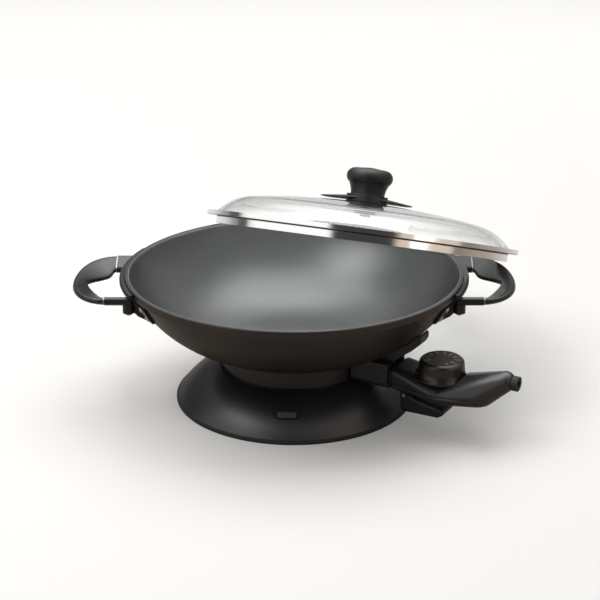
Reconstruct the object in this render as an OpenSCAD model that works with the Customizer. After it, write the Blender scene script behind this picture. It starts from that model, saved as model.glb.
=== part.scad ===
// Electric wok: a cast non-stick pan on a bell-shaped base, two loop handles,
// a glass lid with a steel band, and a plug-in heat controller with a dial.
// X runs through the handles, -Y is the front, Z is up. The origin is on the
// pan's axis, on the surface that the wok stands on.

/* [Pan] */
// Outer diameter of the pan's rim
rim_d = 350; // [330:1:366]
// Height of the rim above the table
rim_z = 141.5; // [136:0.5:148]
// Thickness of the cast wall
pan_wall = 3.5; // [3:0.1:4.5]
// Radius of the flat cooking floor
floor_r = 55; // [48:1:60]
// Height of the floor's underside above the table
floor_z = 59; // [57:0.5:62]
// Height of the thickened lip under the rim
lip_h = 8; // [6:0.5:10]
// Width of the thickened lip
lip_w = 4.2; // [3.8:0.1:5]
// Outer radius of the foot cast under the pan
foot_r = 78; // [76:0.5:79]
// Thickness of the foot cast under the pan
foot_wall = 5; // [4:0.5:6]
// Radius of the screw circle that holds the base
base_screw_circle = 60.4; // [60:0.1:61]
// Radius of the cast bosses for the base screws
boss_r = 4.2; // [3.5:0.1:4.4]

/* [Heater] */
// Radius of the heating element's ring
element_ring_r = 52; // [48:0.5:52]
// Radius of the heating element's tube
element_tube_r = 3.4; // [3:0.1:3.6]
// Half the distance between the two terminal pins
pin_half_gap = 11; // [10:0.5:12]
// Radius of a terminal pin
pin_r = 2.5; // [2:0.1:2.8]
// Distance from the axis to the tips of the terminal pins
pin_tip = 113; // [110:1:115]
// Height of the temperature probe above the table
probe_z = 49.5; // [48.5:0.25:50]
// Radius of the temperature probe
probe_r = 3; // [2.5:0.1:3.2]
// Wall of the tube that receives the probe
probe_tube_wall = 1; // [0.8:0.1:1.2]

/* [Socket] */
// Direction of the controller, in degrees from the right handle
plug_azimuth = -30; // [-36:1:-24]
// Distance from the axis to the mouth of the socket
socket_mouth = 120; // [118:0.5:122]
// Half the width of the socket's shroud
shroud_half_w = 20; // [19:0.5:22]
// Wall of the socket's shroud
shroud_wall = 2.6; // [2:0.1:3]
// Height of the shroud's underside
shroud_z = 39.2; // [38.8:0.1:40]
// Height of the shroud's top at its mouth
shroud_top_z = 66; // [64:0.5:68]

/* [Base] */
// Outer diameter of the foot ring
base_d = 251; // [244:1:256]
// Radius of the base's top edge
base_top_r = 80; // [79.5:0.5:82]
// Height of the base's top
base_top_z = 38.5; // [38:0.25:38.75]
// How far the bell bulges outward between its two edges
bell_bulge = 4.5; // [2:0.5:6]
// Wall of the bell
bell_wall = 2.8; // [2.4:0.1:3.4]
// Height of the rubber foot ring
foot_ring_h = 4; // [3:0.25:5]
// Length of the name-plate place on the front, left bare
badge_l = 27; // [20:1:34]
// Height of the name-plate place on the front, left bare
badge_h = 11; // [8:0.5:13]

/* [Handles] */
// Distance from the pan's axis to the outermost point of a handle
handle_reach = 229; // [222:1:240]
// Half the distance between the two arms of a handle
arm_y = 56; // [52:0.5:58]
// Height of the handle's middle line
handle_z = 127; // [124:0.5:129]
// Width of the flat grip
grip_w = 22.5; // [19:0.5:25]
// Width of the grip at its outermost point
grip_tip_w = 14; // [12:0.5:18]
// How far the grip's inner edge widens halfway round each corner
grip_web = 10; // [0:0.5:11]
// Thickness of the flat grip
grip_t = 7.2; // [6.4:0.2:9]
// Angle by which the grip's outer edge is raised
grip_tilt = 23; // [12:1:26]
// Distance from the axis to the seam between bracket and grip
arm_root = 190; // [188:0.5:193]
// Thickness of the steel ferrule in that seam
ferrule_t = 1.2; // [0.8:0.1:2]
// Thickness of the bracket's band outside the lip
band_t = 5.5; // [5:0.5:8]
// Height of the bracket's lower edge
band_z = 114; // [112:0.5:117]

/* [Lid] */
// Outer diameter of the lid's steel band
lid_d = 349; // [348:0.5:350]
// Height of the band's upper face
flange_h = 4.8; // [4.6:0.1:6]
// Depth of the band's skirt
skirt_h = 9; // [7:0.5:9]
// How far the skirt is set in from the band's edge
skirt_inset = 11; // [10:0.5:12]
// Thickness of the band's sheet steel
band_sheet = 0.6; // [0.5:0.1:0.7]
// Height of the glass dome's top above the band's underside
dome_h = 35.5; // [33:0.5:37]
// Radius of the dome's flat cap
dome_cap = 850; // [750:10:1000]
// Radius of the dome's curved edge
dome_corner = 60; // [50:1:66]
// Thickness of the glass
glass_t = 3; // [2.8:0.1:3.1]
// Where the lid lies ajar: centre of the band's underside
lid_x = 75.5; // [75:0.1:76]
lid_y = 130.1; // [129.8:0.1:130.4]
lid_z = 136.1; // [136:0.1:139]
// Angle by which the resting lid leans
lid_lean = 20.1; // [20:0.1:20.3]
// Direction in which the resting lid leans, from the right handle
lid_lean_azimuth = 67.2; // [67:0.1:67.4]

/* [Lid knob] */
// Largest diameter of the knob
knob_d = 52; // [46:1:56]
// Diameter of the knob's neck
knob_neck_d = 38; // [32:1:42]
// Diameter of the collar under the knob
collar_d = 46.5; // [44:0.5:50]
// Height of the knob over its collar
knob_h = 31; // [28:1:36]
// Length of the winged finger guard
guard_l = 104; // [90:1:116]
// Width of the winged finger guard
guard_w = 46; // [40:1:50]

/* [Controller] */
// Distance from the pan's axis to the controller's nose
nose_s = 122; // [121:0.5:123]
// Distance from the pan's axis to the controller's tail
tail_s = 251; // [246:1:258]
// Distance from the pan's axis to the dial's axis
dial_s = 171; // [168:0.5:174]
// Half the width of the controller under the dial
pod_half_w = 27.5; // [26:0.5:30]
// Height of the seam between the two covers
seam_z = 46; // [45:0.25:46.5]
// Height of the controller's underside
pod_z = 31.5; // [30.5:0.5:33]
// Height of the upper cover around the dial
pod_top_z = 57; // [56:0.25:58]
// Wall of the two covers
cover_wall = 2.2; // [1.8:0.1:2.6]
// Diameter of the dial at its foot
dial_d = 52; // [48:0.5:54]
// Diameter of the dial at its top
dial_top_d = 45; // [40:0.5:46]
// Height of the controller's underside at its nose
nose_z = 40; // [39.5:0.25:41]
// Height of the controller's top at its nose
nose_top_z = 63; // [62:0.25:64.5]
// Height of the dial
dial_h = 20; // [16:0.5:24]

/* [Clearances] */
// Gap between loose neighbours
gap = 0.3; // [0.25:0.01:0.35]
// Radial clearance of a running fit
fit = 0.06; // [0.04:0.01:0.08]

/* [Hidden] */
$fn = 96;
coating = [0.13, 0.13, 0.135];
phenolic = [0.06, 0.06, 0.065];
bright_steel = [0.80, 0.80, 0.79];
plated_steel = [0.62, 0.62, 0.62];
dull_steel = [0.45, 0.45, 0.46];
brass_tone = [0.72, 0.58, 0.30];
soft_rubber = [0.09, 0.09, 0.09];
clear_glass = [0.80, 0.86, 0.85, 0.5];
pale_resin = [0.75, 0.72, 0.64];

rim_r = rim_d / 2;
bowl_h = rim_z - floor_z;
bowl_curve = (pow(rim_r - floor_r, 2) + bowl_h * bowl_h) / (2 * bowl_h);
curve_z = floor_z + bowl_curve;
foot_z = 44;
base_r = base_d / 2;
pin_z = floor_z - element_tube_r - 0.1;
shield_t = 0.8;
screw_r = 2;
screw_head_r = 3.6;
screw_head_h = 2.4;
bell_foot_r = base_r - 1.5;
bell_foot_z = foot_ring_h;
deck_t = 3;
deck_hole_r = 44;
plate_t = 1;
plate_z = bell_foot_z + 2;
plate_r = bell_foot_r - bell_wall - 3;
plate_screw_circle = (base_top_r + base_r) / 2 - 6.75;
probe_inner_end = 30;
probe_tube_end = 79;
lid_r = lid_d / 2;
skirt_r = lid_r - skirt_inset;
glass_r = lid_r - band_sheet - 1;
glass_edge_z = band_sheet + 0.3;
dome_r = glass_r - 8;
knob_z = dome_h;
gasket_t = 1.5;

function bowl_under(r) = curve_z - sqrt(pow(bowl_curve, 2) - pow(max(r - floor_r, 0), 2));
function bowl_reach(z) = floor_r + sqrt(pow(bowl_curve, 2) - pow(curve_z - z, 2));
function sign_power(v, p) = sign(v) * pow(abs(v), p);

// ---------- shared shapes ----------

module plug_frame() {
    rotate([0, 0, plug_azimuth]) children();
}

module lid_frame() {
    translate([lid_x, lid_y, lid_z])
        rotate(a = lid_lean, v = [-sin(lid_lean_azimuth), cos(lid_lean_azimuth), 0])
            children();
}

module ring(r_outer, r_inner, z0, z1) {
    translate([0, 0, z0]) difference() {
        cylinder(r = r_outer, h = z1 - z0);
        translate([0, 0, -1]) cylinder(r = r_inner, h = z1 - z0 + 2);
    }
}

module disc(r, z0, z1) {
    translate([0, 0, z0]) cylinder(r = r, h = z1 - z0);
}

// A rod along +X, from x0 to x1
module rod_x(r, x0, x1) {
    translate([x0, 0, 0]) rotate([0, 90, 0]) cylinder(r = r, h = x1 - x0);
}

module rounded_rect(w, h, r) {
    translate([r, 0]) square([w - 2 * r, h]);
    translate([0, r]) square([w, h - 2 * r]);
    for (x = [r, w - r], y = [r, h - r]) translate([x, y]) circle(r = r);
}

// A box around the X axis' direction, with its four long edges rounded
module rounded_bar(x0, x1, half_w, z0, z1, r) {
    translate([x0, 0, 0]) rotate([90, 0, 90])
        linear_extrude(x1 - x0)
            translate([-half_w, z0]) rounded_rect(2 * half_w, z1 - z0, r);
}

// Everything inside the bowl's outer surface, grown by extra
module bowl_fill(extra, top_z) {
    intersection() {
        union() {
            translate([floor_r, curve_z]) circle(r = bowl_curve + extra, $fn = 180);
            translate([0, floor_z - extra]) square([floor_r, bowl_curve + extra]);
        }
        square([rim_r + 10, top_z]);
    }
}

// A screw along -Z with a pan head: the head's top is at z = 0
module screw_down(length, r = screw_r) {
    difference() {
        union() {
            translate([0, 0, -screw_head_h]) cylinder(r = r * 1.8, h = screw_head_h);
            translate([0, 0, -length]) cylinder(r = r, h = length);
        }
        for (turn = [0, 90]) rotate([0, 0, turn])
            translate([-r, -0.4, -1]) cube([2 * r, 0.8, 2]);
    }
}

// ---------- pan and heater ----------

module pan_profile() {
    difference() {
        union() {
            bowl_fill(0, rim_z);
            translate([rim_r - lip_w, rim_z - lip_h]) rounded_rect(lip_w, lip_h, 1.4);
            translate([foot_r - foot_wall, foot_z])
                square([foot_wall, bowl_under(foot_r - foot_wall) + pan_wall / 2 - foot_z]);
        }
        bowl_fill(-pan_wall, rim_z + 5);
    }
}

boss_top = floor_z + pan_wall / 2;
boss_foot = base_top_z + shield_t;
notch_half_w = pin_half_gap + 6;

module pan() {
    color(coating) difference() {
        union() {
            rotate_extrude($fn = 180) pan_profile();
            for (turn = [60, 180, 300]) rotate([0, 0, plug_azimuth + turn])
                translate([base_screw_circle, 0, boss_foot])
                    cylinder(r = boss_r, h = boss_top - boss_foot);
        }
        for (turn = [60, 180, 300]) rotate([0, 0, plug_azimuth + turn])
            translate([base_screw_circle, 0, boss_foot - 1])
                cylinder(r = screw_r + fit, h = 13);
        plug_frame() translate([foot_r - foot_wall - 3, -notch_half_w, foot_z - 1])
            cube([foot_wall + 5, 2 * notch_half_w, floor_z - foot_z + 0.5]);
        // blind holes of the handles' rivets
        for (side = [0, 1]) mirror([side, 0, 0]) rivet_places()
            rod_x(rivet_r + 0.02, -rivet_depth - 0.2, 3);
    }
}

element_gap = asin(pin_half_gap / element_ring_r);
element_end = element_ring_r * cos(element_gap);

module heating_element() {
    color(dull_steel) translate([0, 0, pin_z]) plug_frame() {
        difference() {
            rotate_extrude() translate([element_ring_r, 0]) circle(r = element_tube_r, $fn = 48);
            // the gap between the two ends
            translate([element_end - 12, -pin_half_gap, -10]) cube([40, 2 * pin_half_gap, 20]);
        }
        for (side = [-1, 1]) translate([0, side * pin_half_gap, 0]) {
            translate([element_end, 0, 0]) sphere(r = element_tube_r + 0.3, $fn = 48);
            rod_x(element_tube_r, element_end, 68);
        }
    }
}

module terminal_pins() {
    color(plated_steel) plug_frame() for (side = [-1, 1])
        translate([0, side * pin_half_gap, pin_z]) {
            rod_x(pin_r, foot_r - 10, pin_tip - pin_r);
            translate([pin_tip - pin_r, 0, 0]) sphere(r = pin_r, $fn = 48);
        }
}

module pin_insulators() {
    color(pale_resin) plug_frame() for (side = [-1, 1])
        translate([0, side * pin_half_gap, pin_z]) difference() {
            rod_x(pin_r + 2, foot_r + 1, foot_r + 10);
            rod_x(pin_r + 0.02, foot_r, foot_r + 11);
        }
}

module probe_tube() {
    color(dull_steel) plug_frame() translate([0, 0, probe_z]) difference() {
        union() {
            rod_x(probe_r + gap + probe_tube_wall, probe_inner_end - 3, probe_tube_end + 6);
            // the saddle that is brazed under the pan's floor
            translate([probe_inner_end, -3.5, 0]) cube([12, 7, floor_z - probe_z]);
        }
        rod_x(probe_r + gap, probe_inner_end - 1, probe_tube_end + 7);
    }
}

shroud_back = foot_r + 3;
shroud_screw_y = notch_half_w - 3.6;
shroud_screw_z = 46;

// The hood over the socket, from the side: it stands off the pan's wall
hood_half_w = 9;
hood_side = [
    [socket_mouth - 30, shroud_top_z - 4], [socket_mouth, shroud_top_z - 4],
    [socket_mouth + 2.5, shroud_top_z + 1], [socket_mouth + 10, shroud_top_z + 7.5],
    [socket_mouth + 21, shroud_top_z + 15.5], [socket_mouth + 28.5, shroud_top_z + 22.5],
    [socket_mouth + 31.5, shroud_top_z + 28], [socket_mouth + 31.5, shroud_top_z + 33],
    [socket_mouth + 29, shroud_top_z + 35], [socket_mouth + 20, shroud_top_z + 35]
];

module socket_shroud() {
    inner_w = shroud_half_w - shroud_wall;
    color(phenolic) difference() {
        plug_frame() difference() {
            union() {
                intersection() {
                    rounded_bar(foot_r + gap, socket_mouth, shroud_half_w, shroud_z,
                                shroud_top_z + 6, 6);
                    translate([foot_r, -40, 0]) cube([80, 80, shroud_top_z]);
                }
                rotate([90, 0, 0]) translate([0, 0, -hood_half_w])
                    linear_extrude(2 * hood_half_w) polygon(hood_side);
            }
            rounded_bar(shroud_back + 4, socket_mouth + 1, inner_w, shroud_z + shroud_wall,
                        shroud_top_z - shroud_wall, 4);
            for (side = [-1, 1]) translate([0, side * pin_half_gap, pin_z])
                rod_x(pin_r + 2.02, 70, 100);
            translate([0, 0, probe_z]) rod_x(probe_r + gap + probe_tube_wall + 0.1, 70, 100);
            for (side = [-1, 1]) translate([0, side * shroud_screw_y, shroud_screw_z])
                rod_x(1.6, 70, 100);
        }
        rotate_extrude($fn = 180) bowl_fill(gap, rim_z);
    }
}

module shroud_screws() {
    color(plated_steel) plug_frame() for (side = [-1, 1])
        translate([shroud_back + 4 + screw_head_h, side * shroud_screw_y, shroud_screw_z])
            rotate([0, 90, 0]) screw_down(9, 1.5);
}

module heat_shield() {
    color(bright_steel) difference() {
        ring(69, 18, base_top_z, base_top_z + shield_t);
        for (turn = [60, 180, 300]) rotate([0, 0, plug_azimuth + turn])
            translate([base_screw_circle, 0, base_top_z - 1])
                cylinder(r = screw_r + 0.2, h = 4);
    }
}

module heat_spacer() {
    color(phenolic) ring(foot_r - 2, 70, base_top_z, foot_z);
}

// ---------- base ----------

bell_chord = norm([bell_foot_r - base_top_r, base_top_z - bell_foot_z]);
bell_radius = (pow(bell_chord / 2, 2) + pow(bell_bulge, 2)) / (2 * bell_bulge);
bell_mid = [(bell_foot_r + base_top_r) / 2, (base_top_z + bell_foot_z) / 2];
bell_out = [base_top_z - bell_foot_z, bell_foot_r - base_top_r] / bell_chord;
bell_centre = bell_mid - bell_out * (bell_radius - bell_bulge);

// The bell's section: all that lies inside its outer face, shrunk by inset
module bell_section(inset) {
    intersection() {
        translate(bell_centre) circle(r = bell_radius - inset, $fn = 240);
        translate([0, bell_foot_z]) square([bell_foot_r, base_top_z - bell_foot_z - inset]);
    }
    translate([0, bell_foot_z]) square([base_top_r - 8, base_top_z - bell_foot_z - inset]);
}

module base_shell() {
    color(phenolic) difference() {
        union() {
            rotate_extrude($fn = 180) difference() {
                union() {
                    bell_section(0);
                    // the rolled top edge
                    translate([base_top_r - 2.4, base_top_z - 2.2]) circle(r = 2.2, $fn = 48);
                }
                difference() {
                    bell_section(bell_wall);
                    translate([0, base_top_z - deck_t]) square([base_top_r - 8, deck_t]);
                }
                translate([0, bell_foot_z - 1]) square([bell_foot_r - bell_wall, 3]);
                square([deck_hole_r, base_top_z + 1]);
            }
            // bosses for the plate's screws, up to the bell's wall
            intersection() {
                for (turn = [15 : 90 : 285]) rotate([0, 0, turn])
                    translate([plate_screw_circle, 0, plate_z + plate_t])
                        cylinder(r = 4, h = base_top_z);
                rotate_extrude($fn = 180) bell_section(bell_wall / 2);
            }
        }
        for (turn = [60, 180, 300]) rotate([0, 0, plug_azimuth + turn])
            translate([base_screw_circle, 0, base_top_z - deck_t - 1])
                cylinder(r = screw_r + 0.2, h = deck_t + 2);
        for (turn = [15 : 90 : 285]) rotate([0, 0, turn])
            translate([plate_screw_circle, 0, plate_z])
                cylinder(r = screw_r - 0.5, h = 12);
        // the flat seat of the bare name plate
        badge_frame() translate([0, 0, -badge_seat]) linear_extrude(6) badge_outline(0.1);
    }
}

module base_plate() {
    color(dull_steel) difference() {
        disc(plate_r, plate_z, plate_z + plate_t);
        for (turn = [15 : 90 : 285]) rotate([0, 0, turn])
            translate([plate_screw_circle, 0, plate_z - 1]) cylinder(r = screw_r - 0.3, h = 4);
        // vent slots in three rings
        for (ring_r = [30, 48, 66], turn = [0 : 45 : 315]) rotate([0, 0, turn + ring_r])
            translate([ring_r, -1.5, plate_z - 1]) cube([12, 3, 4]);
    }
}

module base_screws() {
    color(plated_steel) for (turn = [60, 180, 300]) rotate([0, 0, plug_azimuth + turn])
        translate([base_screw_circle, 0, base_top_z - deck_t - screw_head_h])
            mirror([0, 0, 1]) screw_down(screw_head_h + deck_t + 10);
}

module plate_screws() {
    color(plated_steel) for (turn = [15 : 90 : 285]) rotate([0, 0, turn])
        translate([plate_screw_circle, 0, plate_z - screw_head_h])
            mirror([0, 0, 1]) screw_down(10, screw_r - 0.5);
}

module foot_ring() {
    color(soft_rubber) rotate_extrude($fn = 180)
        translate([base_r - 8, 0]) rounded_rect(8, foot_ring_h, 1);
}

// The plate's place on the bell: its height, and the seat cut into the curved wall
badge_z = foot_ring_h + 20.5;
badge_lean = acos((badge_z - bell_centre[1]) / bell_radius);
badge_r = bell_centre[0] + bell_radius * sin(badge_lean);
badge_seat = badge_r - sqrt(pow(badge_r, 2) - pow(badge_l / 2, 2));
badge_t = 0.8;

module badge_frame() {
    rotate([0, 0, -94]) translate([badge_r, 0, badge_z]) rotate([0, badge_lean, 0])
        rotate([0, 0, 90]) children();
}

module badge_outline(grow) {
    square([badge_l - badge_h, badge_h + 2 * grow], center = true);
    for (side = [-1, 1]) translate([side * (badge_l - badge_h) / 2, 0])
        circle(r = badge_h / 2 + grow);
}

module badge() {
    color(plated_steel) badge_frame() translate([0, 0, -badge_seat])
        linear_extrude(badge_seat + badge_t) badge_outline(0);
}

// ---------- handles ----------

loop_start = arm_root + ferrule_t;
loop_end = handle_reach - grip_tip_w / 2 * cos(grip_tilt);
loop_steps = 28;
loop_power = 2;
section_power = 2.8;
section_points = 20;

// Middle line of the grip for turn = -90..90, seen from above
function loop_point(turn) = [
    loop_start + (loop_end - loop_start) * sign_power(cos(turn), 2 / loop_power),
    arm_y * sign_power(sin(turn), 2 / loop_power)
];
function loop_side(turn) = let (
    before = loop_point(max(turn - 1, -90)),
    after = loop_point(min(turn + 1, 90)),
    along = after - before
) abs(turn) > 89.5 ? [0, sign(turn)] : [along[1], -along[0]] / norm(along);

// Rounded flat section, leaning up on its outer side
function grip_section(turn, grow) = let (
    middle = loop_point(turn),
    side = loop_side(turn),
    width = grip_tip_w + (grip_w - grip_tip_w) * pow(sin(turn), 2),
    inner = 1 + 2 * grip_web * pow(abs(sin(2 * turn)), 1.2) / width
) [for (k = [0 : section_points - 1]) let (
    a = 360 * k / section_points,
    u = (width / 2 + grow) * sign_power(cos(a), 2 / section_power) * (cos(a) < 0 ? inner : 1),
    v = (grip_t / 2 + grow) * sign_power(sin(a), 2 / section_power),
    out = u * cos(grip_tilt) - v * sin(grip_tilt),
    up = u * sin(grip_tilt) + v * cos(grip_tilt)
) [middle[0] + side[0] * out, middle[1] + side[1] * out, handle_z + up]];

module sweep(rings) {
    n = len(rings[0]);
    last = len(rings) - 1;
    polyhedron(
        points = [for (one = rings) each one],
        faces = concat(
            [[for (k = [n - 1 : -1 : 0]) k]],
            [for (i = [0 : last - 1], k = [0 : n - 1])
                [i * n + k, i * n + (k + 1) % n, (i + 1) * n + (k + 1) % n, (i + 1) * n + k]],
            [[for (k = [0 : n - 1]) last * n + k]]
        )
    );
}

module grip_solid() {
    difference() {
        sweep([for (i = [0 : loop_steps]) grip_section(-90 + 180 * i / loop_steps, 0)]);
        for (side = [-1, 1]) translate([0, side * arm_y, handle_z])
            rod_x(screw_r + fit, loop_start - 1, loop_start + 15);
        // flat ends against the ferrules
        translate([loop_start - rim_r, -rim_r, 0]) cube([rim_r, 2 * rim_r, 2 * rim_z]);
    }
}

// The arm's flat section at x0, drawn out to x1
module arm_block(x0, x1, side, grow) {
    lean = side * grip_tilt;
    translate([x0, side * arm_y, handle_z]) rotate([lean, 0, 0]) rotate([90, 0, 90])
        linear_extrude(x1 - x0)
            translate([-grip_w / 2 - grow, -grip_t / 2 - grow])
                rounded_rect(grip_w + 2 * grow, grip_t + 2 * grow, grip_t / 2 + grow - 0.2);
}

bracket_span = 24;
tongue_turn = 17;
band_r = rim_r + gap + band_t;
bracket_top = rim_z - 2;
boss_r_out = 6;
boss_x = rim_r - 8;
boss_z = band_z + 1;
wing_span = 30;
wing_t = 2.5;

// The bracket's band from the side: it widens upward with the bowl
band_side = [
    [rim_r - 18, band_z], [rim_r - 10, band_z], [rim_r - 2, band_z + 12],
    [rim_r + 0.8, band_z + 19], [band_r, band_z + 22], [band_r, bracket_top - 1.5],
    [band_r - 1.5, bracket_top], [rim_r - 3, bracket_top], [rim_r - 18, bracket_top - 8]
];

// Thin wing on the bowl's wall, beyond each end of the band
module bracket_wing() {
    rotate_extrude(angle = wing_span - bracket_span + 2, $fn = 180) difference() {
        intersection() {
            bowl_fill(gap + wing_t, rim_z);
            translate([0, band_z - 2]) square([rim_r + 5, rim_z - lip_h - 1.5 - band_z]);
        }
        bowl_fill(gap, rim_z);
    }
}

module bracket_solid() {
    difference() {
        union() {
            rotate([0, 0, -bracket_span]) rotate_extrude(angle = 2 * bracket_span, $fn = 180)
                polygon(band_side);
            rotate([0, 0, bracket_span - 2]) bracket_wing();
            rotate([0, 0, -wing_span]) bracket_wing();
            for (side = [-1, 1]) {
                arm_block(rim_r - 12, arm_root, side, 0.4);
                // boss of the clamping screw under each arm
                translate([boss_x, side * arm_y, boss_z])
                    cylinder(r = boss_r_out, h = handle_z - boss_z - 2);
                // tongue that runs down the wall
                rotate([0, 0, side * tongue_turn]) rotate([90, 0, 0])
                    translate([0, 0, -6]) linear_extrude(12)
                        polygon([[rim_r - 20, band_z + 6], [rim_r - 1, band_z + 4],
                                 [rim_r - 8, band_z - 4], [rim_r - 17, band_z - 9.5],
                                 [rim_r - 23, band_z - 10]]);
            }
        }
        rotate_extrude($fn = 180) {
            bowl_fill(gap, rim_z + 1);
            translate([0, rim_z - lip_h - gap]) square([rim_r + gap, lip_h + 5]);
        }
        for (side = [-1, 1]) {
            translate([0, side * arm_y, handle_z]) rod_x(screw_r + 0.2, rim_r - 14, arm_root + 1);
            translate([boss_x, side * arm_y, boss_z - 1]) cylinder(r = 1.6, h = 9);
        }
        rivet_places() rod_x(rivet_r + 0.1, -5, 10);
    }
}

rivet_r = 1.6;
rivet_depth = 2;

// The rivets' places on the bowl's wall, with +X away from the wall
module rivet_places() {
    for (side = [-1, 1], z = [band_z + 3, band_z + 13.5])
        rotate([0, 0, side * (wing_span - 2.7)]) translate([bowl_reach(z), 0, z])
            rotate([0, asin((curve_z - z) / bowl_curve), 0]) children();
}

module ferrule_pair() {
    for (side = [-1, 1]) difference() {
        arm_block(arm_root, arm_root + ferrule_t, side, 0.3);
        translate([0, side * arm_y, handle_z]) rod_x(screw_r + 0.2, arm_root - 1, arm_root + 3);
    }
}

module grip_screws() {
    for (side = [-1, 1]) {
        translate([0, side * arm_y, handle_z]) rod_x(screw_r, arm_root - 6, loop_start + 14);
        translate([boss_x, side * arm_y, boss_z - screw_head_h])
            mirror([0, 0, 1]) screw_down(9, 1.5);
    }
}

module band_rivets() {
    head_seat = gap + wing_t;
    rivet_places() {
        rod_x(rivet_r, -rivet_depth, head_seat);
        translate([head_seat, 0, 0]) rotate([0, 90, 0]) cylinder(r1 = 3.4, r2 = 2.4, h = 1.2);
    }
}

module handle_left_grip() {
    color(phenolic) mirror([1, 0, 0]) grip_solid();
}
module handle_left_bracket() {
    color(phenolic) mirror([1, 0, 0]) bracket_solid();
}
module handle_left_ferrules() {
    color(plated_steel) mirror([1, 0, 0]) ferrule_pair();
}
module handle_left_screws() {
    color(plated_steel) mirror([1, 0, 0]) grip_screws();
}
module handle_left_rivets() {
    color(plated_steel) mirror([1, 0, 0]) band_rivets();
}
module handle_right_grip() {
    color(phenolic) grip_solid();
}
module handle_right_bracket() {
    color(phenolic) bracket_solid();
}
module handle_right_ferrules() {
    color(plated_steel) ferrule_pair();
}
module handle_right_screws() {
    color(plated_steel) grip_screws();
}
module handle_right_rivets() {
    color(plated_steel) band_rivets();
}

// ---------- lid ----------

// The cap's arc and the edge's arc meet tangentially; the edge ends on the flat
// rim of the glass
cap_centre = [0, knob_z - dome_cap];
edge_end = [dome_r, glass_edge_z + glass_t];
edge_span = norm(edge_end - cap_centre);
edge_dir = (edge_end - cap_centre) / edge_span;
inner_span = dome_cap - dome_corner;
edge_foot = (pow(inner_span, 2) - pow(dome_corner, 2) + pow(edge_span, 2)) / (2 * edge_span);
edge_side = sqrt(pow(inner_span, 2) - pow(edge_foot, 2));
corner_centre = cap_centre + edge_dir * edge_foot + [-edge_dir[1], edge_dir[0]] * edge_side;
tangent = (corner_centre - cap_centre) / inner_span;

// All that lies under the dome's outer face, shrunk by inset
module dome_fill(inset) {
    intersection() {
        translate(cap_centre) circle(r = dome_cap - inset, $fn = 1440);
        polygon([cap_centre, cap_centre + tangent * 2 * dome_cap, [0, 2 * dome_cap]]);
    }
    intersection() {
        translate(corner_centre) circle(r = dome_corner - inset, $fn = 360);
        polygon([corner_centre - tangent * 20, corner_centre + tangent * 2 * dome_corner,
                 [2 * dome_r, 2 * dome_corner], [2 * dome_r, -dome_r]]);
    }
}

module dome_profile() {
    intersection() {
        difference() {
            dome_fill(0);
            dome_fill(glass_t);
        }
        translate([0, glass_edge_z]) square([dome_r + 2.5, knob_z]);
    }
    translate([dome_r - 3, glass_edge_z]) square([glass_r - dome_r + 3, glass_t]);
}

module lid_glass() {
    color(clear_glass) lid_frame() difference() {
        rotate_extrude($fn = 180) dome_profile();
        disc(5, 0, knob_z + 5);
        translate([60, 90, 0]) disc(3.2, 0, knob_z + 5);
    }
}

module lid_band() {
    color(bright_steel) lid_frame() rotate_extrude($fn = 180) {
        translate([skirt_r - band_sheet, -skirt_h]) square([band_sheet, skirt_h + band_sheet]);
        translate([skirt_r - band_sheet, 0]) square([skirt_inset, band_sheet]);
        translate([lid_r - band_sheet, 0]) square([band_sheet, flange_h]);
        translate([lid_r - 7, flange_h - band_sheet]) square([7, band_sheet]);
    }
}

module lid_seal() {
    color(soft_rubber) lid_frame() rotate_extrude($fn = 180) {
        difference() {
            translate([glass_r - 5, band_sheet])
                square([lid_r - band_sheet - glass_r + 5, flange_h - 2 * band_sheet]);
            translate([0, glass_edge_z - 0.02]) square([glass_r + 0.02, glass_t + 0.04]);
            translate([0, band_sheet - 1]) square([glass_r - 3.5, 20]);
        }
    }
}

guard_foot = knob_z + 0.2;
collar_top = guard_foot + 8;
wing_z = guard_foot + 4.5;

module knob_guard() {
    color(phenolic) lid_frame() difference() {
        union() {
            disc(collar_d / 2, guard_foot - 2, collar_top);
            for (side = [-1, 1]) hull() {
                translate([0, 0, wing_z]) scale([1, 1, 0.14]) sphere(r = guard_w / 2, $fn = 32);
                translate([side * (guard_l / 2 - 12), 0, wing_z - 2.5]) scale([1, 1, 0.12])
                    sphere(r = 12, $fn = 32);
            }
        }
        disc(5, guard_foot - 8, collar_top + 1);
        rotate_extrude($fn = 180) intersection() {
            translate(cap_centre) circle(r = dome_cap + gap, $fn = 1440);
            square([guard_l, 2 * knob_z]);
        }
    }
}

function flare(t) = knob_neck_d / 2 + (knob_d - knob_neck_d) / 2 * t * t;

module knob_profile() {
    waist_h = knob_h - 12;
    difference() {
        union() {
            polygon(concat([[0, 0]], [for (t = [0 : 0.125 : 1]) [flare(t), waist_h * t]],
                           [[0, waist_h]]));
            translate([knob_d / 2 - 9, knob_h - 10.5]) circle(r = 9, $fn = 64);
            translate([0, knob_h - 14]) square([knob_d / 2 - 9, 12.4]);
            intersection() {
                translate([0, knob_h - 60]) circle(r = 60, $fn = 180);
                translate([0, knob_h - 5]) square([knob_d / 2 - 9, 5]);
            }
        }
        square([6, 21]);
    }
}

module lid_knob() {
    color(phenolic) lid_frame() translate([0, 0, collar_top]) rotate_extrude() knob_profile();
}

module knob_insert() {
    color(brass_tone) lid_frame() difference() {
        disc(6, collar_top, collar_top + 20.9);
        disc(screw_r + fit, collar_top - 1, collar_top + 16);
    }
}

washer_z = knob_z - glass_t - gasket_t - 0.2;

module knob_gasket() {
    color(soft_rubber) lid_frame() difference() {
        ring(12, 5, washer_z, washer_z + gasket_t);
    }
}

module knob_washer() {
    color(bright_steel) lid_frame() {
        ring(14, screw_r + 0.3, washer_z - 1.2, washer_z);
    }
}

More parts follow.
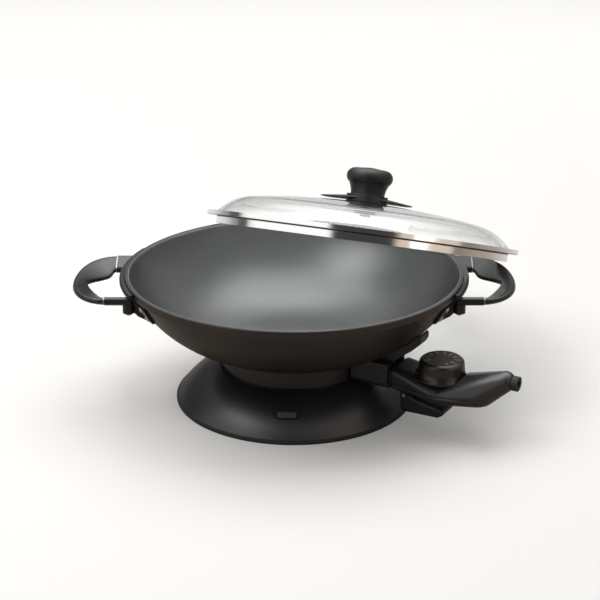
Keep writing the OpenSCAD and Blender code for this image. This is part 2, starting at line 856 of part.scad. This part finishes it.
module knob_screw() {
    color(plated_steel) lid_frame() translate([0, 0, washer_z - 1.2 - 4])
        mirror([0, 0, 1]) difference() {
            union() {
                translate([0, 0, -4]) cylinder(r = 6, h = 4);
                translate([0, 0, -(collar_top + 15 - washer_z + 5.2)])
                    cylinder(r = screw_r, h = collar_top + 15 - washer_z + 5);
            }
            translate([-4, -0.6, -1]) cube([8, 1.2, 2]);
        }
}

// ---------- controller ----------

pod_mid_z = (pod_top_z + pod_z) / 2;
block_w = shroud_half_w - shroud_wall - 1;
block_s = 97;
block_foot = shroud_z + shroud_wall + 0.8;
block_top = nose_top_z - cover_wall - 0.6;
rear_s = dial_s + 39;
tail_z = pod_mid_z + 23;
corner_r = 5;

// A flattened ball: one bulge of the controller's body
module pebble(s, z, r, h) {
    translate([s, 0, z]) scale([1, 1, h / r]) sphere(r = r, $fn = 28);
}

// The controller's outer body, shrunk by inset
module pod(inset) {
    hull() {
        for (side = [-1, 1], z = [nose_z + corner_r, nose_top_z - corner_r])
            translate([nose_s + corner_r, side * (shroud_half_w - corner_r), z])
                sphere(r = corner_r - inset, $fn = 20);
        pebble(dial_s + 5, pod_mid_z, pod_half_w - inset, (pod_top_z - pod_z) / 2 - inset);
    }
    hull() {
        pebble(dial_s + 5, pod_mid_z, pod_half_w - inset, (pod_top_z - pod_z) / 2 - inset);
        pebble(rear_s, pod_mid_z + 5.5, 21 - inset, 15 - inset);
        translate([tail_s - 11, 0, tail_z]) sphere(r = 10.5 - inset, $fn = 24);
    }
}

// Each post's place, and the height of the seat of its screw
post_places = [[150, 15, 41.5], [150, -15, 41.5], [rear_s + 4, 0, 42]];
post_r = 4.4;

module above_dial() {
    translate([dial_s, 0, 0]) disc(dial_d / 2 + 1.2, pod_top_z, pod_top_z + 40);
}

module cover_shell() {
    difference() {
        pod(0);
        difference() {
            pod(cover_wall);
            // the flat deck under the dial
            translate([dial_s, 0, 0])
                disc(dial_d / 2 + 1.2 + cover_wall, pod_top_z - cover_wall, pod_top_z + 40);
            for (p = post_places) translate([p[0], p[1], pod_z])
                cylinder(r = post_r, h = 60, $fn = 32);
        }
        above_dial();
        nose_opening();
    }
}

module controller_top() {
    color(phenolic) plug_frame() difference() {
        cover_shell();
        translate([nose_s - 20, -60, 0]) cube([200, 120, seam_z]);
        translate([dial_s, 0, 0]) cylinder(r = 4.5, h = 90, $fn = 48);
        for (p = post_places) translate([p[0], p[1], seam_z - 1])
            cylinder(r = 1.45, h = 6, $fn = 32);
        gland_seat();
    }
}

module controller_bottom() {
    color(phenolic) plug_frame() difference() {
        union() {
            difference() {
                cover_shell();
                translate([nose_s - 20, -60, seam_z]) cube([200, 120, 60]);
            }
            // the two ears that hold the lever's pin
            for (side = [-1, 1]) translate([pivot_s, side * (lever_half_w + 1.6), 0])
                rotate([90, 0, 0]) linear_extrude(2.6, center = true)
                    polygon([[-4, nose_z + 0.8], [5, nose_z + 0.4], [3.5, pivot_z - 2.5],
                             [0, pivot_z - 3.6], [-3.5, pivot_z - 2.5]]);
        }
        for (p = post_places) {
            translate([p[0], p[1], pod_z - 1]) cylinder(r = 1.7, h = 30, $fn = 32);
            translate([p[0], p[1], 20]) cylinder(r = 3, h = p[2] - 20, $fn = 32);
        }
        translate([pivot_s, 0, pivot_z]) rotate([90, 0, 0])
            cylinder(r = lever_pin_r + 0.05, h = 60, center = true, $fn = 48);
    }
}

module nose_opening() {
    rounded_bar(nose_s - 10, nose_s + 14, block_w + 0.1, block_foot - 0.1, block_top + 0.1, 3);
}

module receptacle_block() {
    color(phenolic) plug_frame() difference() {
        rounded_bar(block_s, nose_s + 12, block_w, block_foot, block_top, 3);
        for (side = [-1, 1]) translate([0, side * pin_half_gap, pin_z])
            rod_x(pin_r + fit + 1, block_s - 1, nose_s + 13);
        translate([0, 0, probe_z]) rod_x(probe_r, block_s - 1, nose_s + 13);
    }
}

module receptacles() {
    color(brass_tone) plug_frame() for (side = [-1, 1])
        translate([0, side * pin_half_gap, pin_z]) difference() {
            rod_x(pin_r + fit + 1, block_s, nose_s + 16);
            rod_x(pin_r + fit, block_s - 1, nose_s + 5);
        }
}

module probe_rod() {
    color(bright_steel) plug_frame() translate([0, 0, probe_z]) {
        rod_x(probe_r, probe_inner_end + probe_r, nose_s + 22);
        translate([probe_inner_end + probe_r, 0, 0]) sphere(r = probe_r, $fn = 48);
    }
}

module probe_collar() {
    color(brass_tone) plug_frame() translate([0, 0, probe_z]) difference() {
        rod_x(probe_r + 3, nose_s + 12, nose_s + 16);
        rod_x(probe_r, nose_s + 11, nose_s + 17);
    }
}

module thermostat_frame() {
    color(dull_steel) plug_frame() difference() {
        union() {
            translate([nose_s + 22, -7, 44]) cube([2, 14, 9]);
            translate([nose_s + 22, -7, 44]) cube([dial_s - nose_s - 14, 14, 1.5]);
        }
        translate([dial_s, 0, 0]) disc(3.2, 40, 50);
    }
}

module thermostat_blade() {
    color(brass_tone) plug_frame() {
        translate([nose_s + 26, -4, 45.5]) cube([5, 8, 2.5]);
        translate([nose_s + 26, -4, 48]) cube([dial_s - nose_s - 30, 8, 0.6]);
    }
}

terminal_z = pod_z + cover_wall + 3;

module terminal_block() {
    color(pale_resin) plug_frame() difference() {
        translate([dial_s + 12, -8, terminal_z]) cube([14, 16, 8]);
        for (side = [-1, 1]) translate([0, side * 4, terminal_z + 4])
            rod_x(1.5, dial_s + 11, dial_s + 27);
    }
}

cord_bore_r = 3.6;

module gland_seat() {
    translate([0, 0, tail_z]) rod_x(6, tail_s - 14, tail_s + 5);
    // the tail's flat end under the gland's flange
    translate([tail_s - 3, -20, tail_z - 20]) cube([20, 40, 40]);
}

module cord_gland() {
    color(soft_rubber) plug_frame() translate([0, 0, tail_z]) difference() {
        union() {
            rod_x(5.9, tail_s - 12, tail_s - 2.9);
            rod_x(7.5, tail_s - 2.9, tail_s + 3);
        }
        rod_x(cord_bore_r, tail_s - 13, tail_s + 4);
    }
}

module controller_screws() {
    color(plated_steel) plug_frame() for (p = post_places)
        translate([p[0], p[1], p[2] - 1.45 * 1.8]) mirror([0, 0, 1]) screw_down(11, 1.4);
}

// ---------- release lever ----------

pivot_s = 137;
pivot_z = 35;
lever_half_w = 13;
lever_pin_r = 1.5;

module lever_pin() {
    color(plated_steel) plug_frame() translate([pivot_s, 0, pivot_z]) rotate([90, 0, 0])
        cylinder(r = lever_pin_r, h = 2 * lever_half_w + 6, center = true);
}

// The lever from the side, from its pivot
lever_side = [
    [-4.5, -1], [-2.5, 1.7], [2.5, 1.7], [7, -1], [13, -4], [39, -8.5], [43, -11],
    [42, -14.5], [37.5, -17.5], [0, -18.5], [-4.5, -17]
];

module release_lever() {
    color(phenolic) plug_frame() difference() {
        translate([pivot_s, lever_half_w, pivot_z]) rotate([90, 0, 0])
            linear_extrude(2 * lever_half_w) polygon(lever_side);
        translate([pivot_s, 0, pivot_z]) rotate([90, 0, 0])
            cylinder(r = lever_pin_r + fit, h = 60, center = true);
        // hollow behind the finger face
        translate([pivot_s + 3, -lever_half_w + 2.5, pivot_z - 30])
            cube([32, 2 * lever_half_w - 5, 19.5]);
    }
}

// ---------- dial ----------

dial_z = pod_top_z + gap;

module dial_knob() {
    foot = dial_d / 2;
    top = dial_top_d / 2;
    color(phenolic) plug_frame() translate([dial_s, 0, dial_z]) difference() {
        rotate_extrude() difference() {
            polygon([[0, 0], [foot, 0], [foot, 1.6], [foot - 1.4, 4], [top + 1, 8],
                     [top + 0.3, dial_h - 4], [top - 0.6, dial_h - 1.6], [top - 2.6, dial_h],
                     [0, dial_h]]);
            translate([7, -1]) square([top - 10, dial_h - 3]);
            translate([0, dial_h - 1]) square([top - 3.5, 1]);
        }
        disc(3 + fit, -1, 12);
    }
}

module dial_face() {
    color([0.16, 0.13, 0.11]) plug_frame() translate([dial_s, 0, dial_z + dial_h - 1])
        cylinder(r = dial_top_d / 2 - 3.6, h = 0.8);
}

module dial_shaft() {
    color(plated_steel) plug_frame() translate([dial_s, 0, 0]) disc(3, 42, dial_z + 11.8);
}

pan();
heating_element();
terminal_pins();
pin_insulators();
probe_tube();
socket_shroud();
shroud_screws();
heat_shield();
heat_spacer();
base_shell();
base_plate();
base_screws();
plate_screws();
foot_ring();
badge();
handle_left_grip();
handle_left_bracket();
handle_left_ferrules();
handle_left_screws();
handle_left_rivets();
handle_right_grip();
handle_right_bracket();
handle_right_ferrules();
handle_right_screws();
handle_right_rivets();
lid_glass();
lid_band();
lid_seal();
knob_guard();
lid_knob();
knob_insert();
knob_gasket();
knob_washer();
knob_screw();
controller_top();
controller_bottom();
controller_screws();
probe_rod();
probe_collar();
receptacles();
receptacle_block();
thermostat_frame();
thermostat_blade();
terminal_block();
cord_gland();
lever_pin();
dial_knob();
dial_face();
dial_shaft();
release_lever();
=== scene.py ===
import bmesh
import bpy
import math
from mathutils import Matrix, Vector


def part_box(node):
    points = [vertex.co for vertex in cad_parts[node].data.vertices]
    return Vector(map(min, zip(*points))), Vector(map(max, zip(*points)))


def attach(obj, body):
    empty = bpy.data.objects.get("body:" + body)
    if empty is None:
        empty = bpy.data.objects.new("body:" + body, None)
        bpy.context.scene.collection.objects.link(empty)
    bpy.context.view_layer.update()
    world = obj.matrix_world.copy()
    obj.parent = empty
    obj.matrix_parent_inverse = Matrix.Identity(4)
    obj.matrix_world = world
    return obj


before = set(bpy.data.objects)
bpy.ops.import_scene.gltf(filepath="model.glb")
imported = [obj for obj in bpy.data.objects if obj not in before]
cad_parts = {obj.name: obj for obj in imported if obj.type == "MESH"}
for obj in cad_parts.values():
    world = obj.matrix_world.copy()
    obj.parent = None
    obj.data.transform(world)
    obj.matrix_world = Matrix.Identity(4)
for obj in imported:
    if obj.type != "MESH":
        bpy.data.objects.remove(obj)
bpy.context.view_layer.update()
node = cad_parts


# ---------- pan ----------
# Cast aluminium bowl with a satin grey non-stick coat inside, painted paler at
# its bottom as a pool of light, a darker and slightly brown coat outside, and a
# thin pale line painted round the rim as a highlight. Which way the wall faces
# tells the two sides apart.

class Field:
    """One output of a shader node, with the usual arithmetic on numbers."""

    def __init__(self, network, socket):
        self.network = network
        self.socket = socket

    def maths(self, operation, first, second):
        return self.network.node("ShaderNodeMath", {"operation": operation},
                                 [first, second])

    def __add__(self, other):
        return self.maths("ADD", self, other)

    def __radd__(self, other):
        return self.maths("ADD", other, self)

    def __sub__(self, other):
        return self.maths("SUBTRACT", self, other)

    def __rsub__(self, other):
        return self.maths("SUBTRACT", other, self)

    def __mul__(self, other):
        return self.maths("MULTIPLY", self, other)

    def __rmul__(self, other):
        return self.maths("MULTIPLY", other, self)

    def __truediv__(self, other):
        return self.maths("DIVIDE", self, other)

    def __pow__(self, other):
        return self.maths("POWER", self, other)

    def or_else(self, other):
        """The larger of the two."""
        return self.maths("MAXIMUM", self, other)

    def out(self, name):
        """Another output of the same node."""
        return Field(self.network, self.socket.node.outputs[name])

    def step(self, low, high):
        """0 below low, 1 above high, smooth between."""
        return self.network.node(
            "ShaderNodeMapRange", {"interpolation_type": "SMOOTHSTEP"},
            {"Value": self, "From Min": low, "From Max": high})

    def span(self, low, high, soft):
        """1 between low and high, fading to 0 within soft of each."""
        rise = self.step(low - soft, low + soft)
        return rise * (1 - self.step(high - soft, high + soft))


class Network:
    """A tree of shader nodes."""

    def __init__(self, tree):
        self.tree = tree

    def node(self, kind, settings=None, values=None):
        """Adds a node: its settings first, then its sockets' values or links."""
        made = self.tree.nodes.new(kind)
        for key, value in (settings or {}).items():
            setattr(made, key, value)
        pairs = values.items() if isinstance(values, dict) else enumerate(values or [])
        for key, value in pairs:
            self.feed(made.inputs[key], value)
        return Field(self, next(o for o in made.outputs if o.enabled))

    def feed(self, socket, value):
        if isinstance(value, Field):
            self.tree.links.new(value.socket, socket)
        elif isinstance(value, tuple) and len(value) == 3 and socket.type == "RGBA":
            socket.default_value = (*value, 1)
        else:
            socket.default_value = value

    def axes(self, output):
        """X, Y and Z of one of the texture coordinates."""
        spot = self.node("ShaderNodeTexCoord").out(output)
        split = self.node("ShaderNodeSeparateXYZ", None, [spot])
        return split.out("X"), split.out("Y"), split.out("Z")

    def blend(self, factor, first, second):
        """Colour first where factor is 0, second where it is 1."""
        mix = self.node("ShaderNodeMix", {"data_type": "RGBA"}, {"Factor": factor})
        color_a, color_b, color_result = 6, 7, 2
        self.feed(mix.socket.node.inputs[color_a], first)
        self.feed(mix.socket.node.inputs[color_b], second)
        return Field(self, mix.socket.node.outputs[color_result])


class Finish(Network):
    """A material for some of the wok's surfaces, round one Principled shader."""

    def __init__(self, name, **constant):
        self.material = bpy.data.materials.new(name)
        self.material.use_nodes = True
        super().__init__(self.material.node_tree)
        self.shader = self.tree.nodes["Principled BSDF"]
        for key, value in constant.items():
            self.set(key.replace("_", " "), value)

    def set(self, name, value):
        self.feed(self.shader.inputs[name], value)

    def grain(self, scale, detail=2.0):
        """Cloudy noise with this many patches to the metre."""
        spot = self.node("ShaderNodeTexCoord").out("Object")
        return self.node("ShaderNodeTexNoise", None,
                         {"Vector": spot, "Scale": scale, "Detail": detail})

    def mottle(self, noise, first, second):
        """Two close colours that drift into each other with the noise."""
        return self.blend(noise.step(0.3, 0.7), first, second)

    def bump(self, height, strength, distance, base=None):
        values = {"Height": height, "Strength": strength, "Distance": distance}
        if base:
            values["Normal"] = base
        self.set("Normal", self.node("ShaderNodeBump", None, values))

    def moulded(self, scale, edge, strength=0.08):
        """The fine texture of a mould, and edges rounded by edge in the light."""
        height = self.grain(scale, 1.0)
        rounded = self.node("ShaderNodeBevel", {"samples": 4}, {"Radius": edge})
        self.bump(height, strength, 0.0001, rounded)

    def on(self, *names):
        """Gives this finish to CAD nodes."""
        for name in names:
            slots = node[name].data.materials
            if not len(slots):
                slots.append(self.material)
            for i in range(len(slots)):
                slots[i] = self.material


rim_inner, rim_outer = 0.1704, 0.1716
rim_low, rim_high = 0.1385, 0.1402
coat_end, coat_gone = 0.1712, 0.1722
bottom_radius, wall_radius = 0.05, 0.15
coat = Finish("pan_coating")
x, y, z = coat.axes("Object")
nx, ny, nz = coat.axes("Normal")
radius = (x * x + y * y) ** 0.5
outward = (x * nx + y * ny) / radius
inside = (nz - outward).step(-0.05, 0.15) * (1 - radius.step(coat_end, coat_gone))
cloud = coat.grain(9.0, 3.0)
speck = coat.grain(1400.0)
# Painted highlight: a thin pale line round the rim's inner edge, above the coat's
# edge.
rim_highlight = radius.span(rim_inner, rim_outer, 0.0004) * z.step(rim_low, rim_high)
specked = speck.step(0.35, 0.7)
wall = coat.blend(specked, (0.118, 0.121, 0.120), (0.140, 0.143, 0.142))
# Painted light: the inside is coloured paler at the bottom as a pool of light, fading
# to the wall colour between bottom_radius and wall_radius.
painted_pool = coat.blend(specked, (0.185, 0.190, 0.188), (0.215, 0.220, 0.218))
inner = coat.blend(radius.step(bottom_radius, wall_radius), painted_pool, wall)
outer = coat.mottle(cloud, (0.013, 0.010, 0.009), (0.019, 0.0155, 0.014))
coated = coat.blend(inside, outer, inner)
coat.set("Base Color", coat.blend(rim_highlight, coated, (0.30, 0.30, 0.29)))
coat.set("Roughness", 0.36 + cloud * 0.05)
coat.set("Metallic", inside * 0.9)
coat.bump(speck, 0.10, 0.0002)
coat.on("pan")


# ---------- heater, socket and base ----------
# The base is one moulded bell of satin black phenolic on a rubber ring. Steel
# parts of the heater hide inside it; the socket's shroud grows out of it.

shell = Finish("satin_black_phenolic")
cloud = shell.grain(14.0, 4.0)
shell.set("Base Color",
          shell.mottle(cloud, (0.014, 0.014, 0.017), (0.020, 0.020, 0.024)))
shell.set("Roughness", 0.34 + cloud * 0.08)
shell.moulded(2600.0, edge=0.0008, strength=0.10)
shell.on("base_shell", "socket_shroud", "heat_spacer", "receptacle_block")

rubber = Finish("black_rubber", Base_Color=(0.014, 0.014, 0.014), Roughness=0.75)
rubber.bump(rubber.grain(900.0), 0.2, 0.0002)
rubber.on("foot_ring", "lid_seal", "knob_gasket", "cord_gland")

sheet = Finish("plain_steel_sheet", Base_Color=(0.42, 0.42, 0.43), Metallic=1.0)
sheet.set("Roughness", 0.3 + sheet.grain(60.0, 3.0) * 0.2)
sheet.on("heating_element", "probe_tube", "heat_shield", "base_plate",
         "thermostat_frame")

plated = Finish("plated_steel", Base_Color=(0.50, 0.50, 0.49), Metallic=1.0)
plated.set("Roughness", 0.26 + plated.grain(80.0, 3.0) * 0.15)
plated.on("shroud_screws", "base_screws", "plate_screws", "handle_left_screws",
          "handle_right_screws", "handle_left_rivets", "handle_right_rivets",
          "knob_screw", "controller_screws", "lever_pin", "dial_shaft",
          "probe_rod", "terminal_pins", "probe_collar")

resin = Finish("pale_resin", Base_Color=(0.70, 0.66, 0.56), Roughness=0.5)
resin.bump(resin.grain(700.0), 0.15, 0.0002)
resin.on("pin_insulators", "terminal_block")

brass = Finish("plain_brass", Base_Color=(0.70, 0.52, 0.24), Metallic=1.0)
brass.set("Roughness", 0.24 + brass.grain(90.0) * 0.14)
brass.on("knob_insert", "receptacles", "thermostat_blade")


# ---------- badge plate ----------
# A bare pressed plate on the front of the base: brushed grey steel in the
# middle, black lacquer round its edge.

bare_half_width, bare_half_height = 0.0092, 0.0017
plate = Finish("badge_lacquer")
x, y, z = plate.axes("Object")
low, high = (Vector(corner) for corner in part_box("badge"))
middle = (low + high) / 2
across = (x - middle.x).span(-bare_half_width, bare_half_width, 0.0006)
upright = (z - middle.z).span(-bare_half_height, bare_half_height, 0.0005)
bare = across * upright
plate.set("Base Color", plate.blend(bare, (0.012, 0.012, 0.013), (0.22, 0.22, 0.22)))
plate.set("Metallic", bare * 0.9)
plate.set("Roughness", 0.28 + plate.grain(900.0, 3.0) * 0.15)
plate.on("badge")


# ---------- handles ----------
# Flat loops of black phenolic, glossier than the base where hands polish
# them, with a thin steel ferrule where each arm meets its bracket.

grip = Finish("handle_phenolic", Specular_IOR_Level=0.4)
cloud = grip.grain(40.0, 3.0)
grip.set("Base Color",
         grip.mottle(cloud, (0.011, 0.011, 0.012), (0.017, 0.017, 0.018)))
grip.set("Roughness", 0.25 + cloud * 0.1)
grip.moulded(2400.0, edge=0.0012)
grip.on("handle_left_grip", "handle_right_grip", "handle_left_bracket",
        "handle_right_bracket")

ferrule = Finish("ferrule_steel", Base_Color=(0.24, 0.24, 0.24), Metallic=1.0)
ferrule.set("Roughness", 0.36 + ferrule.grain(120.0, 3.0) * 0.15)
ferrule.on("handle_left_ferrules", "handle_right_ferrules")


# ---------- lid ----------
# Clear tempered glass in a rolled and polished steel band, with shade painted
# dark just under its lip where the roll closes on the glass, and a black moulded
# knob on a winged guard, held by a screw from below.

glass = Finish("clear_glass", Base_Color=(0.97, 0.98, 0.98), IOR=1.45,
               Transmission_Weight=1.0)
glass.set("Roughness", 0.012 + glass.grain(30.0) * 0.012)
glass.on("lid_glass")

lean, lean_turn = math.radians(20.1), math.radians(67.2)
lid_middle = Vector((0.0755, 0.1301, 0.1361))
lid_up = Vector((math.sin(lean) * math.cos(lean_turn),
                 math.sin(lean) * math.sin(lean_turn), math.cos(lean)))
lip_groove, lip_edge = -0.0016, 0.0001
steel, shade = (0.86, 0.86, 0.85), (0.07, 0.065, 0.06)
polished = Finish("polished_steel_band", Metallic=1.0)
x, y, z = polished.axes("Object")
height = x * lid_up.x + y * lid_up.y + z * lid_up.z - lid_middle.dot(lid_up)
# Painted shade: the band is coloured dark, and made rougher, in a narrow strip just
# under its lip.
painted_lip_shade = height.span(lip_groove, lip_edge, 0.0004)
polished.set("Base Color", polished.blend(painted_lip_shade, steel, shade))
polished.set("Roughness", 0.07 + polished.grain(50.0, 3.0) * 0.06 + painted_lip_shade * 0.3)
polished.on("lid_band", "knob_washer")

knob = Finish("knob_phenolic", Base_Color=(0.014, 0.014, 0.015),
              Specular_IOR_Level=0.4)
knob.set("Roughness", 0.44 + knob.grain(60.0, 3.0) * 0.1)
knob.moulded(2400.0, edge=0.001)
knob.on("lid_knob", "knob_guard")


# ---------- heat controller ----------
# Two moulded black covers over the thermostat, smooth where the hand pulls
# them, and a release lever below on a steel pin.

cover = Finish("controller_phenolic")
cloud = cover.grain(45.0, 3.0)
cover.set("Base Color",
          cover.mottle(cloud, (0.018, 0.018, 0.019), (0.025, 0.025, 0.026)))
cover.set("Roughness", 0.24 + cloud * 0.1)
cover.moulded(2200.0, edge=0.004)
cover.on("controller_top", "controller_bottom", "release_lever")


# ---------- dial ----------
# A smooth black knob with a dark brown printed disc let into its top: heat
# settings as plain numbers round the edge, and a tick at each of them.

turned = Finish("dial_phenolic", Base_Color=(0.017, 0.015, 0.014), Roughness=0.32)
turned.moulded(2200.0, edge=0.001)
turned.on("dial_knob")

print_disc = Finish("dial_disc_print", Base_Color=(0.022, 0.013, 0.010))
print_disc.set("Roughness", 0.36 + print_disc.grain(70.0, 3.0) * 0.12)
print_disc.on("dial_face")

ink = Finish("dial_ink", Base_Color=(0.62, 0.56, 0.52))
ink.set("Roughness", 0.45 + ink.grain(300.0) * 0.15)
low, high = (Vector(corner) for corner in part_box("dial_face"))
disc_middle = Vector(((low.x + high.x) / 2, (low.y + high.y) / 2, high.z))
plug_turn = math.radians(-30)
heat_settings, first_turn, turn_between = 10, -135, 30
number_ring, number_size, number_depth = 0.0135, 0.0058, 0.00008
tick_ring = number_ring + 0.0042
tick_size = (0.0005, 0.0012, 0.00014)
proud = 0.00006
marks = bmesh.new()
for setting in range(heat_settings):
    turn = plug_turn - math.radians(first_turn + turn_between * setting)
    flat = bpy.data.curves.new("number", "FONT")
    flat.body = str(setting)
    flat.size = number_size
    flat.extrude = number_depth
    flat.align_x = "CENTER"
    flat.align_y = "CENTER"
    carrier = bpy.data.objects.new("number", flat)
    bpy.context.collection.objects.link(carrier)
    bpy.context.view_layer.update()
    shape = carrier.evaluated_get(bpy.context.evaluated_depsgraph_get()).to_mesh()
    shape.transform(Matrix.Translation(disc_middle) @ Matrix.Rotation(turn, 4, "Z")
                    @ Matrix.Translation((0, number_ring, proud)))
    marks.from_mesh(shape)
    carrier.to_mesh_clear()
    bpy.data.objects.remove(carrier)
    tick = bmesh.ops.create_cube(marks, size=1)["verts"]
    bmesh.ops.scale(marks, vec=tick_size, verts=tick)
    bmesh.ops.translate(marks, vec=(0, tick_ring, proud), verts=tick)
    bmesh.ops.rotate(marks, cent=(0, 0, 0), matrix=Matrix.Rotation(turn, 3, "Z"),
                     verts=tick)
    bmesh.ops.translate(marks, vec=disc_middle, verts=tick)
marks_data = bpy.data.meshes.new("dial_numbers")
marks.to_mesh(marks_data)
marks.free()
marks_data.materials.append(ink.material)
dial_numbers = bpy.data.objects.new("dial_numbers", marks_data)
bpy.context.collection.objects.link(dial_numbers)
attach(dial_numbers, "dial")


# ---------- studio ----------
# A pale floor with the wok's shadow on it and a white backdrop. What the wok
# mirrors is another room: a brown table, a window on the left, a cream wall on
# the right, a bright ceiling, and darkness behind.

floor_half_width = 12
floor_mesh = bmesh.new()
bmesh.ops.create_grid(floor_mesh, x_segments=1, y_segments=1, size=floor_half_width)
floor_data = bpy.data.meshes.new("studio_floor")
floor_mesh.to_mesh(floor_data)
floor_mesh.free()
floor = bpy.data.objects.new("studio_floor", floor_data)
bpy.context.collection.objects.link(floor)


def ray_kinds(network):
    """1 for a ray seen straight or through glass, and 1 for a mirrored one."""
    path = network.node("ShaderNodeLightPath")
    seen = path.out("Is Camera Ray").or_else(path.out("Is Transmission Ray"))
    return seen, path.out("Is Glossy Ray")


pale, unlit, warm_light = (0.80, 0.785, 0.76), (0.0, 0.0, 0.0), (1.0, 0.99, 0.97)
table_brown, table_pale = (0.42, 0.36, 0.30), (0.75, 0.75, 0.75)
paper = Finish("pale_floor", Roughness=0.7, Specular_IOR_Level=0.1,
               Emission_Strength=1.0)
seen, _ = ray_kinds(paper)
x, y, z = paper.axes("Object")
away = ((x * x + y * y) ** 0.5).step(0.4, 2.4)
table = paper.blend(y.step(0.2, 0.5), table_brown, table_pale)
paper.set("Base Color", paper.blend(seen, table, pale))
glow = seen * (0.14 + away * 0.4)
paper.set("Emission Color", paper.blend(glow, unlit, warm_light))
floor_data.materials.append(paper.material)

world = bpy.data.worlds.new("studio_world")
bpy.context.scene.world = world
world.use_nodes = True
room = Network(world.node_tree)
x, y, z = room.axes("Generated")
degree = math.pi / 180
bearing = x.maths("ARCTAN2", x, 0 - y)
right_wall = bearing.span(24 * degree, 150 * degree, 4 * degree)
left_window = bearing.span(-104 * degree, -27 * degree, 3 * degree)
behind = y.step(0.05, 0.45)
ceiling = (z + y * 0.25).step(0.55, 0.95)
mirrored = room.blend(right_wall, (0.05, 0.05, 0.055), (0.75, 0.62, 0.52))
mirrored = room.blend(left_window, mirrored, (1.15, 1.15, 1.15))
mirrored = room.blend(behind, mirrored, (0.12, 0.12, 0.12))
mirrored = room.blend(ceiling, mirrored, (2.8, 2.8, 2.8))
seen, glossy = ray_kinds(room)
ambient = room.blend(glossy, (0.30, 0.30, 0.30), mirrored)
ground = world.node_tree.nodes["Background"]
room.feed(ground.inputs["Color"], room.blend(seen, ambient, (1.0, 1.0, 1.0)))


def lamp(name, where, aim, size, power):
    light = bpy.data.lights.new(name, "AREA")
    light.shape = "RECTANGLE"
    light.size, light.size_y = size
    light.energy = power
    holder = bpy.data.objects.new(name, light)
    holder.location = where
    facing = Vector(aim) - Vector(where)
    holder.rotation_euler = facing.to_track_quat("-Z", "Y").to_euler()
    bpy.context.collection.objects.link(holder)


lamp("overhead_box", (-0.05, 0.55, 1.85), (0, 0, 0.1), size=(2.0, 1.6), power=26)
lamp("left_window", (-1.13, -0.41, 1.82), (0, 0, 0.1), size=(1.1, 1.1), power=16)
lamp("right_fill", (1.6, -1.3, 0.8), (0.1, 0, 0.1), size=(1.0, 0.8), power=2)

view_data = bpy.data.cameras.new("photo_view")
view_data.lens = 91.76
view_data.sensor_width = 36
view_data.clip_start = 0.05
view_data.clip_end = 60
view = bpy.data.objects.new("photo_view", view_data)
view.location = (0.00597, -1.49475, 0.67783)
look = Vector((0.00597, 0, 0.10705)) - view.location
view.rotation_euler = look.to_track_quat("-Z", "Y").to_euler()
bpy.context.collection.objects.link(view)
bpy.context.scene.camera = view
bpy.context.scene.view_settings.view_transform = "Standard"
